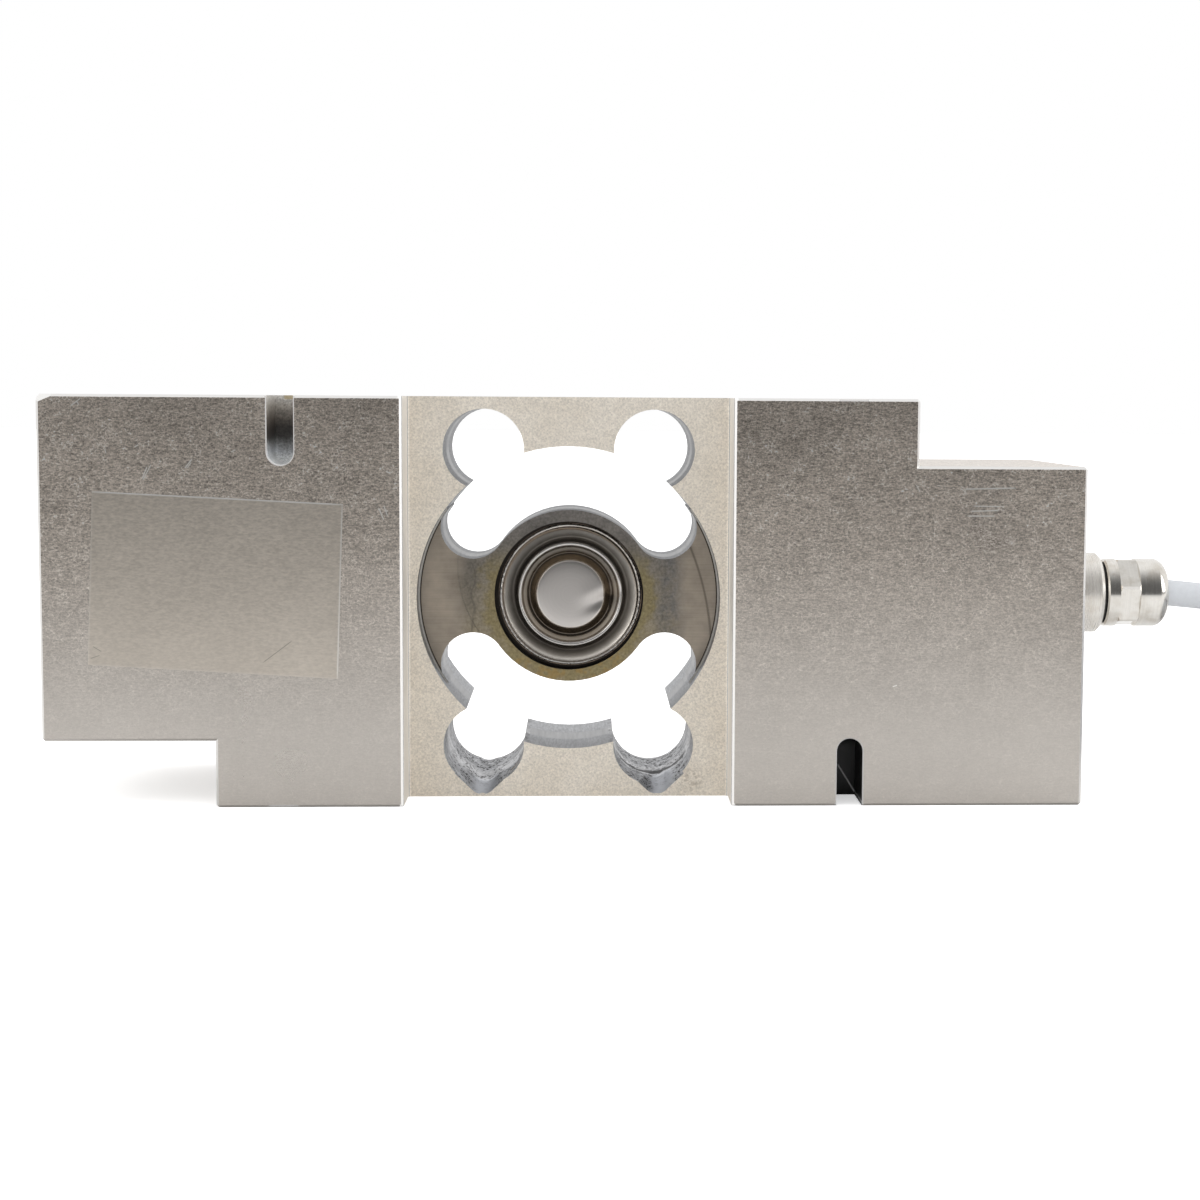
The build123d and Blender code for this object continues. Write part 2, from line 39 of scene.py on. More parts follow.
# ---- Sizes repeated from the part's source, in metres ----
HALF_DEPTH = 0.0325
HEIGHT = 0.0945
MID_Z = 0.04725
HALF_OPENING = 0.0379
BAND_FACE = 0.019
WEB_FACE = 0.013
SEAT_FACE = 0.0104
CUP_OFFSET = 0.0003
CUP_Z = MID_Z + 0.0002
HEX_START = 0.1344
HEX_END = 0.1394
SLOT_X = 0.0654
SLOT_REACH = 0.0165
CUP_SEAT_R = 0.0177
CABLE_R = 0.00325
DOME_END = 0.147
COIL_X = 0.232
COIL_Y = 0.015
TAIL_END_X = 0.208
HOLE_CENTRE_X = 0.077
HOLE_OFF_X = 0.025
HOLE_OFF_Y = 0.021
THREAD_PITCH = 0.0015


# ---- Camera: the photograph's view ----
FOCAL_PX = 2166.48
PITCH = 0.08695
YAW = 0.04913
ROLL = 0.00634
CAMERA_AT = (0.003596, -0.528746, 0.093678)
CENTRE_PX = (90.26, -9.80)
IMAGE_PX = 1200
SENSOR_MM = 36

camera_data = bpy.data.cameras.new("camera")
camera = bpy.data.objects.new("camera", camera_data)
scene.collection.objects.link(camera)
scene.camera = camera
camera_data.sensor_width = SENSOR_MM
camera_data.lens = FOCAL_PX / IMAGE_PX * SENSOR_MM
camera_data.shift_x = -CENTRE_PX[0] / IMAGE_PX
camera_data.shift_y = CENTRE_PX[1] / IMAGE_PX
camera_data.clip_start = 0.01
camera_data.clip_end = 50
ahead = Vector((math.sin(YAW) * math.cos(PITCH), math.cos(YAW) * math.cos(PITCH), -math.sin(PITCH)))
level = Vector((math.cos(YAW), -math.sin(YAW), 0))
above = level.cross(ahead)
right = math.cos(ROLL) * level + math.sin(ROLL) * above
up = -math.sin(ROLL) * level + math.cos(ROLL) * above
turn = Matrix((right, up, -ahead)).transposed()
camera.matrix_world = Matrix.Translation(CAMERA_AT) @ turn.to_4x4()


# ---- Materials ----
# Scratches on the front: start and end in x and z, and half their width
MARKS = [
    (0.0913, 0.0739, 0.1029, 0.0742, 0.00016),
    (0.0935, 0.0700, 0.0996, 0.0699, 0.00012),
    (0.0928, 0.0688, 0.0992, 0.0690, 0.00014),
    (0.0921, 0.0677, 0.0983, 0.0677, 0.00014),
    (-0.0962, 0.0752, -0.0944, 0.0786, 0.00010),
    (-0.0863, 0.0779, -0.0854, 0.0791, 0.00010),
    (0.0800, 0.0748, 0.0809, 0.0732, 0.00010),
    (0.0752, 0.0280, 0.0762, 0.0283, 0.00012),
    (-0.1121, 0.0918, -0.1100, 0.0934, 0.00014),
    (-0.1108, 0.0929, -0.1103, 0.0921, 0.00012),
    (-0.0953, 0.0781, -0.0964, 0.0755, 0.00012),
    (-0.0868, 0.0779, -0.0852, 0.0799, 0.00014),
    (-0.0764, 0.0816, -0.0754, 0.0821, 0.00012),
    (-0.0980, 0.0826, -0.0972, 0.0831, 0.00012),
    (-0.1047, 0.0822, -0.1044, 0.0812, 0.00010),
    (-0.0432, 0.0690, -0.0421, 0.0664, 0.00012),
    (-0.0420, 0.0694, -0.0412, 0.0672, 0.00010),
]

# Thin dark scratches in the foil
FOIL_MARKS = [
    (-0.0695, 0.0337, -0.0633, 0.0384, 0.00008),
    (-0.1086, 0.0345, -0.1066, 0.0352, 0.00007),
    (-0.1080, 0.0372, -0.1062, 0.0361, 0.00007),
]

# Corners of the bare foil on the left block, in x and z
FOIL_CORNERS = [(-0.1093, 0.0330), (-0.0527, 0.0298), (-0.0513, 0.0699), (-0.1077, 0.0726)]


class Graph:
    """A node material, written as nested calls."""

    def __init__(self, name):
        self.material = bpy.data.materials.new(name)
        self.material.use_nodes = True
        self.tree = self.material.node_tree
        self.tree.nodes.clear()
        self.out = self.tree.nodes.new("ShaderNodeOutputMaterial")
        self.shader = self.tree.nodes.new("ShaderNodeBsdfPrincipled")
        self.tree.links.new(self.shader.outputs[0], self.out.inputs["Surface"])
        coords = self.tree.nodes.new("ShaderNodeTexCoord")
        self.place = coords.outputs["Object"]
        split = self.tree.nodes.new("ShaderNodeSeparateXYZ")
        self.tree.links.new(self.place, split.inputs[0])
        self.x, self.y, self.z = split.outputs
        geometry = self.tree.nodes.new("ShaderNodeNewGeometry")
        facing = self.tree.nodes.new("ShaderNodeSeparateXYZ")
        self.tree.links.new(geometry.outputs["Normal"], facing.inputs[0])
        self.nx, self.ny, self.nz = facing.outputs

    def plug(self, socket, value):
        if isinstance(value, bpy.types.NodeSocket):
            self.tree.links.new(value, socket)
        elif isinstance(value, (tuple, list)) and len(value) == 3 and len(socket.default_value) == 4:
            socket.default_value = (*value, 1)
        else:
            socket.default_value = value

    def math(self, operation, *values, clamp=False):
        node = self.tree.nodes.new("ShaderNodeMath")
        node.operation = operation
        node.use_clamp = clamp
        for socket, value in zip(node.inputs, values):
            self.plug(socket, value)
        return node.outputs[0]

    def add(self, a, b):
        return self.math("ADD", a, b)

    def sub(self, a, b):
        return self.math("SUBTRACT", a, b)

    def mul(self, a, b):
        return self.math("MULTIPLY", a, b)

    def both(self, *masks):
        total = masks[0]
        for mask in masks[1:]:
            total = self.mul(total, mask)
        return total

    def either(self, *masks):
        total = masks[0]
        for mask in masks[1:]:
            total = self.math("MAXIMUM", total, mask)
        return total

    def flip(self, mask):
        return self.sub(1.0, mask)

    def size(self, value):
        return self.math("ABSOLUTE", value)

    def below(self, value, limit, soft=0.0):
        if soft:
            return self.flip(self.rise(value, limit - soft, limit + soft))
        return self.math("LESS_THAN", value, limit)

    def over(self, value, limit, soft=0.0):
        if soft:
            return self.rise(value, limit - soft, limit + soft)
        return self.math("GREATER_THAN", value, limit)

    def rise(self, value, low, high):
        node = self.tree.nodes.new("ShaderNodeMapRange")
        node.interpolation_type = "SMOOTHSTEP"
        self.plug(node.inputs["Value"], value)
        node.inputs["From Min"].default_value = low
        node.inputs["From Max"].default_value = high
        return node.outputs[0]

    def span(self, value, low, high, to_low, to_high):
        node = self.tree.nodes.new("ShaderNodeMapRange")
        self.plug(node.inputs["Value"], value)
        node.inputs["From Min"].default_value = low
        node.inputs["From Max"].default_value = high
        node.inputs["To Min"].default_value = to_low
        node.inputs["To Max"].default_value = to_high
        return node.outputs[0]

    def distance(self, *deltas):
        total = self.mul(deltas[0], deltas[0])
        for delta in deltas[1:]:
            total = self.add(total, self.mul(delta, delta))
        return self.math("SQRT", total)

    def vector(self, x, y, z):
        node = self.tree.nodes.new("ShaderNodeCombineXYZ")
        for socket, value in zip(node.inputs, (x, y, z)):
            self.plug(socket, value)
        return node.outputs[0]

    def noise(self, place, scale=1.0, detail=2.0, roughness=0.5):
        node = self.tree.nodes.new("ShaderNodeTexNoise")
        self.plug(node.inputs["Vector"], place)
        node.inputs["Scale"].default_value = scale
        node.inputs["Detail"].default_value = detail
        node.inputs["Roughness"].default_value = roughness
        return node.outputs["Fac"]

    def cells(self, place, scale):
        node = self.tree.nodes.new("ShaderNodeTexVoronoi")
        self.plug(node.inputs["Vector"], place)
        node.inputs["Scale"].default_value = scale
        return node.outputs["Distance"]

    def stroke(self, x0, z0, x1, z1, half_width):
        """A thin straight mark on a face that looks along y."""
        length = math.hypot(x1 - x0, z1 - z0)
        ux, uz = (x1 - x0) / length, (z1 - z0) / length
        dx = self.sub(self.x, x0)
        dz = self.sub(self.z, z0)
        along = self.add(self.mul(dx, ux), self.mul(dz, uz))
        off = self.size(self.sub(self.mul(dz, ux), self.mul(dx, uz)))
        return self.both(self.below(off, half_width, half_width * 0.6),
                         self.below(self.size(self.sub(along, length / 2)), length / 2, length * 0.06))

    def ramp(self, value, stops):
        """A colour that changes evenly between the stops."""
        node = self.tree.nodes.new("ShaderNodeValToRGB")
        self.plug(node.inputs["Fac"], value)
        points = node.color_ramp.elements
        while len(points) < len(stops):
            points.new(0.5)
        for point, (place, colour) in zip(points, stops):
            point.position = place
            point.color = (*colour, 1)
        return node.outputs["Color"]

    def mix(self, factor, a, b):
        node = self.tree.nodes.new("ShaderNodeMix")
        node.data_type = "RGBA"
        self.plug(node.inputs["Factor"], factor)
        for name, value in (("A", a), ("B", b)):
            self.plug(next(i for i in node.inputs if i.name == name and i.type == "RGBA"), value)
        return next(o for o in node.outputs if o.type == "RGBA")

    def blend(self, factor, a, b):
        node = self.tree.nodes.new("ShaderNodeMix")
        self.plug(node.inputs["Factor"], factor)
        self.plug(node.inputs["A"], a)
        self.plug(node.inputs["B"], b)
        return next(o for o in node.outputs if o.type == "VALUE")

    def tone(self, colour, amount):
        """A colour times an amount."""
        node = self.tree.nodes.new("ShaderNodeVectorMath")
        node.operation = "SCALE"
        self.plug(node.inputs[0], colour)
        self.plug(node.inputs["Scale"], amount)
        return node.outputs[0]

    def bump(self, height, depth, below=None):
        node = self.tree.nodes.new("ShaderNodeBump")
        node.inputs["Strength"].default_value = 1.0
        node.inputs["Distance"].default_value = depth
        self.plug(node.inputs["Height"], height)
        if below is not None:
            self.plug(node.inputs["Normal"], below)
        return node.outputs[0]

    def finish(self, colour, roughness, metallic=0.0, normal=None, **fixed):
        self.plug(self.shader.inputs["Base Color"], colour)
        self.plug(self.shader.inputs["Roughness"], roughness)
        self.plug(self.shader.inputs["Metallic"], metallic)
        if normal is not None:
            self.plug(self.shader.inputs["Normal"], normal)
        for name, value in fixed.items():
            self.shader.inputs[name].default_value = value
        return self.material


def wear(piece, material):
    piece.data.materials.clear()
    piece.data.materials.append(material)


def block_material():
    """Brushed end blocks, blasted band, turned bores and the web with its heat tint."""
    g = Graph("spring_metal")
    across = g.size(g.x)
    depth = g.size(g.y)
    front = g.over(g.size(g.ny), 0.8)
    flat = g.over(g.size(g.nz), 0.8)
    end = g.over(g.size(g.nx), 0.8)
    band = g.below(across, HALF_OPENING + 0.0001)
    band_skin = g.both(band, g.either(g.both(front, g.over(depth, BAND_FACE - 0.0004)),
                                      g.both(flat, g.over(g.size(g.sub(g.z, MID_Z)), MID_Z - 0.0006))))
    web_skin = g.both(band, front, g.below(depth, WEB_FACE + 0.0008))
    bore_skin = g.both(band, g.flip(band_skin), g.flip(web_skin))
    rel_z = g.sub(g.z, MID_Z)
    radius = g.distance(g.x, rel_z)
    # The rise with height below paints the grain and curl marks stronger higher up, a painted reflection contrast;
    # the metal's tint also shifts with height
    height_sheen = g.rise(g.z, 0.012, 0.080)

    # Brushing runs along the block on its long faces, and across it on its ends
    cross = g.blend(end, 2600.0, 700.0)
    grain = g.noise(g.vector(g.mul(g.x, 1500.0), g.mul(g.y, cross), g.mul(g.z, 3600.0)), 1.0, 2.0, 0.6)
    dash = g.noise(g.vector(g.mul(g.x, 420.0), g.mul(g.y, cross), g.mul(g.z, 2600.0)), 1.0, 2.0, 0.5)
    fleck = g.noise(g.place, 3400.0, 1.0, 0.5)
    cloud = g.noise(g.place, 45.0, 3.0, 0.55)
    curl_line = g.below(g.size(g.sub(g.noise(g.place, 950.0, 0.0, 0.5), 0.5)), 0.030, 0.030)
    curl = g.both(curl_line, g.rise(g.noise(g.place, 330.0, 2.0, 0.6), 0.47, 0.60))
    grain_amount = g.add(g.span(grain, 0.34, 0.70, -0.34, 0.46), g.add(g.span(dash, 0.40, 0.72, -0.12, 0.14),
                                                                      g.span(fleck, 0.42, 0.72, -0.12, 0.40)))
    grain_amount = g.mul(grain_amount, g.span(height_sheen, 0.0, 1.0, 0.10, 1.0))
    curl = g.mul(curl, g.span(height_sheen, 0.0, 1.0, 0.07, 0.60))
    metal = g.mix(height_sheen, (0.598, 0.560, 0.517), (0.620, 0.550, 0.482))
    brushed = g.tone(g.mix(g.rise(g.add(grain_amount, curl), 0.1, 1.1), metal, (0.590, 0.562, 0.530)),
                     g.add(1.0, g.add(g.add(grain_amount, curl), g.span(cloud, 0.3, 0.7, -0.06, 0.06))))
    brushed_rough = g.span(cloud, 0.3, 0.7, 0.27, 0.32)
    break_edge = g.both(g.over(g.size(g.ny), 0.3), g.below(g.size(g.ny), 0.9))
    # Chamfers are painted lighter where they face up, a painted highlight, and darker where they face down, painted
    # shade
    brushed = g.mix(break_edge, brushed, g.mix(g.rise(g.nz, -0.5, 0.3), (0.52, 0.49, 0.46), (0.90, 0.89, 0.87)))
    for mark in MARKS:
        brushed = g.mix(g.both(front, g.stroke(*mark)), brushed, (0.97, 0.95, 0.91))

    # Bead-blasted band, stained at its lower right
    speck = g.noise(g.place, 2400.0, 2.0, 0.6)
    patch = g.noise(g.place, 90.0, 3.0, 0.6)
    blasted = g.tone(g.mix(g.rise(patch, 0.35, 0.65), (0.835, 0.775, 0.685), (0.875, 0.82, 0.735)),
                     g.span(speck, 0.25, 0.75, 0.80, 1.20))
    stain = g.both(g.below(g.distance(g.sub(g.x, 0.0290), g.sub(g.z, 0.0042)), 0.0030, 0.0016),
                   g.rise(g.noise(g.place, 900.0, 3.0, 0.6), 0.45, 0.6))
    blasted = g.mix(g.mul(stain, 0.35), blasted, (0.30, 0.24, 0.17))
    blasted_rough = 0.62

    # Walls of the bores: grey and smooth in the middle, blasted near the faces
    mouth = g.rise(depth, 0.0042, 0.0060)
    along = g.noise(g.vector(g.mul(g.x, 900.0), g.mul(g.y, 45.0), g.mul(g.z, 900.0)), 1.0, 3.0, 0.6)
    chatter = g.noise(g.vector(g.mul(g.x, 2200.0), g.mul(g.y, 260.0), g.mul(g.z, 2200.0)), 1.0, 2.0, 0.6)
    smooth_wall = g.tone((0.235, 0.235, 0.24), g.span(along, 0.3, 0.7, 0.60, 1.25))
    rough_wall = g.tone((0.47, 0.475, 0.49), g.span(chatter, 0.3, 0.7, 0.74, 1.14))
    # The walls are painted darker towards the top: painted shade on the down-facing upper walls
    wall = g.tone(g.mix(mouth, smooth_wall, rough_wall), g.span(g.z, 0.030, 0.062, 1.0, 0.66))
    swirl_wall = g.noise(g.place, 330.0, 3.0, 0.65)
    low_hole = g.both(g.below(g.z, 0.0150, 0.002), g.below(g.size(g.sub(across, 0.0205)), 0.0110))
    cluster = g.rise(g.noise(g.place, 300.0, 2.0, 0.6), 0.42, 0.52)
    dots = g.below(g.cells(g.place, 1250.0), 0.40, 0.10)
    loose_dots = g.below(g.cells(g.place, 420.0), 0.14, 0.04)
    bottom = g.rise(g.sub(0.0088, g.z), 0.0, 0.003)
    speckle = g.both(low_hole, g.either(g.both(dots, cluster, g.span(bottom, 0.0, 1.0, 0.35, 1.0)), loose_dots))
    seam_wave = g.mul(g.sub(g.noise(g.place, 500.0, 3.0, 0.6), 0.5), 0.006)
    seam = g.both(g.over(g.x, 0.0), g.below(g.z, 0.0080, 0.001),
                  g.below(g.size(g.add(g.add(g.y, 0.0015), seam_wave)), 0.0016, 0.0008))
    lapped = g.both(g.below(g.y, -0.0035, 0.0015), g.below(g.z, 0.0062, 0.0010),
                    g.below(g.size(g.sub(g.add(g.x, g.mul(seam_wave, 0.5)),
                                         g.blend(g.over(g.x, 0.0), -0.0200, 0.0225))), 0.0028, 0.0010))
    rust = g.both(g.below(g.distance(g.add(g.x, 0.0134), g.add(g.y, 0.0120), g.sub(g.z, 0.0068)), 0.0022, 0.0010),
                  g.rise(g.noise(g.place, 700.0, 2.0, 0.6), 0.40, 0.58))
    wall = g.mix(g.mul(low_hole, 0.60), wall,
                 g.tone((0.46, 0.46, 0.475), g.mul(g.span(fleck, 0.3, 0.7, 0.7, 1.3),
                                                   g.span(swirl_wall, 0.36, 0.64, 0.45, 1.35))))
    wall = g.mix(g.mul(lapped, 0.85), wall, (0.55, 0.565, 0.60))
    grime = g.either(g.both(speckle, g.flip(g.mul(lapped, 0.8))), g.mul(seam, 0.85))
    wall = g.mix(grime, wall, (0.035, 0.033, 0.032))
    wall = g.mix(g.mul(rust, 0.8), wall, (0.20, 0.12, 0.045))
    # The side faces of the low step between the band and the blocks are light grey and less metallic; the lip along
    # the band's edge carries a painted highlight
    step_wall = g.both(bore_skin, end, g.over(depth, BAND_FACE + 0.0001))
    wall = g.mix(step_wall, wall, (0.80, 0.765, 0.71))
    lip_highlight = g.both(break_edge, g.below(g.size(g.sub(across, HALF_OPENING)), 0.0009))
    brushed = g.mix(lip_highlight, brushed, (0.97, 0.96, 0.94))

    # Web: smooth brown at the sides, a dark band of painted shade at the left, a mottled neck, heat tint round the
    # cup
    lines = g.noise(g.vector(g.mul(g.x, 60.0), 0.0, g.mul(g.z, 2400.0)), 1.0, 2.0, 0.5)
    swirl = g.noise(g.place, 260.0, 4.0, 0.65)
    fine = g.noise(g.place, 1500.0, 2.0, 0.6)
    lift = g.rise(rel_z, -0.020, 0.020)
    disc_tone = g.mix(lift, (0.335, 0.285, 0.200), (0.215, 0.200, 0.185))
    disc_tone = g.tone(disc_tone, g.add(g.span(swirl, 0.3, 0.7, 0.80, 1.18), g.span(fine, 0.3, 0.7, -0.24, 0.26)))
    side_tone = g.tone((0.375, 0.325, 0.268), g.add(g.span(lines, 0.3, 0.7, 0.93, 1.07),
                                                    g.add(g.span(swirl, 0.3, 0.7, -0.12, 0.12),
                                                          g.span(patch, 0.3, 0.7, -0.14, 0.18))))
    beyond = g.add(across, g.mul(g.sub(swirl, 0.5), 0.006))
    web = g.mix(g.rise(beyond, 0.0225, 0.0275), disc_tone, side_tone)
    neck = g.both(g.rise(g.sub(g.x, g.mul(g.sub(patch, 0.5), 0.005)), 0.0195, 0.0235),
                  g.flip(g.rise(beyond, 0.0250, 0.0290)))
    web = g.mix(g.mul(neck, g.span(swirl, 0.38, 0.62, 0.15, 1.0)), web,
                g.tone((0.185, 0.178, 0.170), g.span(fine, 0.3, 0.7, 0.7, 1.35)))
    # A dark band of painted shade on the web's left, with a thin dark line beside it
    shade_band_x = g.add(g.add(g.x, 0.0240), g.mul(g.sub(g.noise(g.place, 180.0, 2.0, 0.5), 0.5), 0.005))
    shade_band = g.both(g.below(g.x, 0.0), g.below(g.size(shade_band_x), 0.0012, 0.0030),
                    g.below(g.size(g.sub(g.z, 0.0505)), 0.0075, 0.004))
    vein = g.both(g.below(g.x, 0.0), g.below(g.size(g.add(shade_band_x, -0.0010)), 0.0003, 0.0002),
                  g.below(g.size(g.sub(g.z, 0.0450)), 0.0080, 0.003))
    web = g.mix(g.mul(shade_band, g.span(swirl, 0.35, 0.65, 0.35, 0.75)), web, (0.145, 0.135, 0.118))
    web = g.mix(g.mul(vein, 0.35), web, (0.10, 0.09, 0.08))
    arc = g.sub(g.distance(g.add(g.x, 0.03425), g.sub(g.z, 0.03288)), 0.06834)
    web = g.mix(g.mul(g.both(g.over(g.x, 0.0), g.below(g.size(arc), 0.00025, 0.0002)), 0.65), web, (0.13, 0.11, 0.09))
    edge = g.add(radius, g.mul(g.sub(swirl, 0.5), 0.010))
    tint_ring = g.both(g.over(radius, CUP_SEAT_R), g.flip(g.rise(edge, 0.0188, 0.0222)),
                       g.flip(g.rise(rel_z, 0.004, 0.013)))
    web = g.mix(g.mul(tint_ring, 0.8), web, g.tone((0.285, 0.235, 0.120), g.span(fine, 0.3, 0.7, 0.75, 1.3)))
    gold = g.both(tint_ring, g.below(rel_z, -0.0135, 0.002), g.rise(g.noise(g.place, 420.0, 3.0, 0.6), 0.50, 0.60))
    web = g.mix(g.mul(gold, 0.6), web, (0.37, 0.245, 0.09))
    # A thin dark line at radius 35.25 mm, painted shade of a small step, and a light rim beyond it
    web = g.mix(g.below(g.size(g.sub(radius, 0.03525)), 0.00014, 0.00006), web, (0.06, 0.05, 0.04))
    web = g.mix(g.over(radius, 0.0354, 0.00005), web, (0.60, 0.58, 0.54))
    web = g.tone(web, 1.12)
    # The cup's seat round the cup is painted nearly black: painted shade in the crevice between cup and seat
    seat_shade = g.both(g.below(radius, CUP_SEAT_R + 0.00005), g.below(depth, WEB_FACE - 0.0002))
    web_rough = g.span(swirl, 0.3, 0.7, 0.36, 0.50)

    colour = g.mix(band_skin, brushed, blasted)
    colour = g.mix(bore_skin, colour, wall)
    colour = g.mix(web_skin, colour, web)
    colour = g.mix(seat_shade, colour, (0.035, 0.030, 0.026))

    # Slots: painted light and shade; the upper one painted bright at its ends and dark between, the lower one painted
    # nearly black, with a painted glint
    slot_side = g.both(g.below(g.size(g.sub(across, SLOT_X)), 0.0031), g.over(g.y, 0.0004 - HALF_DEPTH),
                       g.below(g.y, -0.0170))
    left_slot = g.both(slot_side, g.below(g.x, 0.0), g.over(g.z, HEIGHT - SLOT_REACH))
    right_slot = g.both(slot_side, g.over(g.x, 0.0), g.below(g.z, SLOT_REACH))
    slot = g.either(left_slot, right_slot)
    foot_z = g.add(g.z, g.mul(g.sub(swirl, 0.5), 0.004))
    slot_tone = g.ramp(g.span(foot_z, 0.0785, 0.0945, 0.0, 1.0), [
        (0.0, (1.0, 1.0, 1.0)), (0.07, (0.98, 1.0, 1.0)), (0.20, (0.62, 0.635, 0.66)),
        (0.31, (0.30, 0.30, 0.30)), (0.40, (0.075, 0.070, 0.066)), (0.50, (0.065, 0.058, 0.052)),
        (0.66, (0.16, 0.138, 0.118)), (0.84, (0.36, 0.33, 0.29)), (1.0, (0.55, 0.53, 0.50))])
    slot_tone = g.tone(slot_tone, g.span(g.noise(g.place, 2200.0, 2.0, 0.6), 0.34, 0.62, 0.66, 1.20))
    glue = g.both(g.over(g.z, 0.0936), g.below(g.size(g.add(g.x, 0.0645)), 0.0018, 0.0002))
    slot_tone = g.mix(g.mul(glue, 0.8), slot_tone, (0.42, 0.34, 0.19))
    glint = g.mul(g.stroke(0.0644, 0.0072, 0.0685, 0.0006, 0.00018), 0.5)
    colour = g.mix(left_slot, colour, slot_tone)
    colour = g.mix(right_slot, colour, g.mix(glint, (0.010, 0.0095, 0.0095), (1.0, 1.0, 1.0)))
    # The chamfers round the slots' mouths are painted a light grey and not metallic: a painted highlight
    rim = g.both(g.below(g.size(g.sub(across, SLOT_X)), 0.0034), g.below(g.y, 0.0004 - HALF_DEPTH), break_edge)
    colour = g.mix(rim, colour, (0.50, 0.49, 0.48))
    roughness = g.blend(band_skin, brushed_rough, blasted_rough)
    roughness = g.blend(bore_skin, roughness, g.span(mouth, 0.0, 1.0, 0.30, 0.50))
    roughness = g.blend(web_skin, roughness, web_rough)
    roughness = g.blend(slot, roughness, 0.40)
    roughness = g.math("ADD", roughness, g.mul(g.mul(grime, bore_skin), 0.3), clamp=True)
    metallic = g.flip(g.either(slot, rim, g.mul(band_skin, 0.22), g.mul(g.either(step_wall, lip_highlight), 0.55)))

    # Thread in the load and base holes
    hole_x = g.sub(g.size(g.sub(across, HOLE_CENTRE_X)), HOLE_OFF_X)
    hole_y = g.sub(depth, HOLE_OFF_Y)
    in_hole = g.both(g.below(g.distance(hole_x, hole_y), 0.0046), g.below(g.size(g.nz), 0.5))
    round_hole = g.math("ARCTAN2", hole_y, hole_x)
    thread = g.math("PINGPONG", g.add(g.mul(g.z, 1 / THREAD_PITCH), g.mul(round_hole, 1 / (2 * math.pi))), 0.5)
    metal_height = g.blend(band_skin, g.mul(grain, 0.5), speck)
    metal_height = g.blend(bore_skin, metal_height, g.mul(chatter, g.mul(mouth, 0.8)))
    metal_height = g.blend(web_skin, metal_height, g.mul(fine, 0.4))
    normal = g.bump(metal_height, 0.00003)
    normal = g.bump(g.mul(in_hole, thread), 0.0009, normal)
    return g.finish(colour, roughness, metallic, normal)


def plated_material(name, low, high, metallic=1.0, lit_corner=False):
    g = Graph(name)
    turned = g.noise(g.vector(g.mul(g.x, 4000.0), g.mul(g.y, 60.0), g.mul(g.z, 60.0)), 1.0, 2.0, 0.5)
    stain = g.noise(g.place, 260.0, 3.0, 0.6)
    colour = g.tone(g.mix(g.rise(stain, 0.4, 0.75), (0.80, 0.775, 0.73), (0.66, 0.62, 0.56)),
                    g.span(turned, 0.3, 0.7, 0.95, 1.03))
    if lit_corner:
        # A painted highlight on the rounded front corner of the nut's hexagon
        corner = g.both(g.over(g.x, HEX_START), g.below(g.x, HEX_END), g.over(g.size(g.ny), 0.97))
        colour = g.mix(corner, colour, (0.70, 0.68, 0.65))
        metallic = g.flip(corner)
    return g.finish(colour, g.span(turned, 0.3, 0.7, low, high), metallic, g.bump(turned, 0.000006))


# Tones of the cup by its radius in millimetres, as far as the outer groove: painted highlights on the button's rim
# and the crest, painted shade in the valleys
CUP_TONES_WITH_PAINTED_LIGHT = [
    (0.0, (0.62, 0.59, 0.565)), (7.7, (0.62, 0.59, 0.565)), (8.0, (0.74, 0.69, 0.64)), (8.35, (0.25, 0.20, 0.145)),
    (9.2, (0.25, 0.20, 0.145)), (9.6, (0.115, 0.095, 0.075)), (10.1, (0.15, 0.13, 0.11)), (10.5, (0.40, 0.36, 0.31)),
    (11.0, (0.58, 0.54, 0.48)), (11.4, (0.26, 0.235, 0.21)), (11.9, (0.68, 0.66, 0.64)), (12.3, (0.66, 0.64, 0.62)),
    (12.6, (0.06, 0.052, 0.044)),
]
# Tones of the outer groove, painted light and shade; its dark ring of painted shade sits a little low
GROOVE_TONES_WITH_PAINTED_LIGHT = [
    (12.6, (0.04, 0.033, 0.027)), (13.3, (0.05, 0.042, 0.034)), (13.9, (0.15, 0.133, 0.113)),
    (14.4, (0.25, 0.228, 0.20)), (14.9, (0.40, 0.37, 0.33)), (15.3, (0.52, 0.49, 0.45)), (15.7, (0.52, 0.485, 0.44)),
    (16.0, (0.24, 0.19, 0.14)), (16.3, (0.26, 0.20, 0.15)),
]
GROOVE_SHADE_DROP = 0.0004


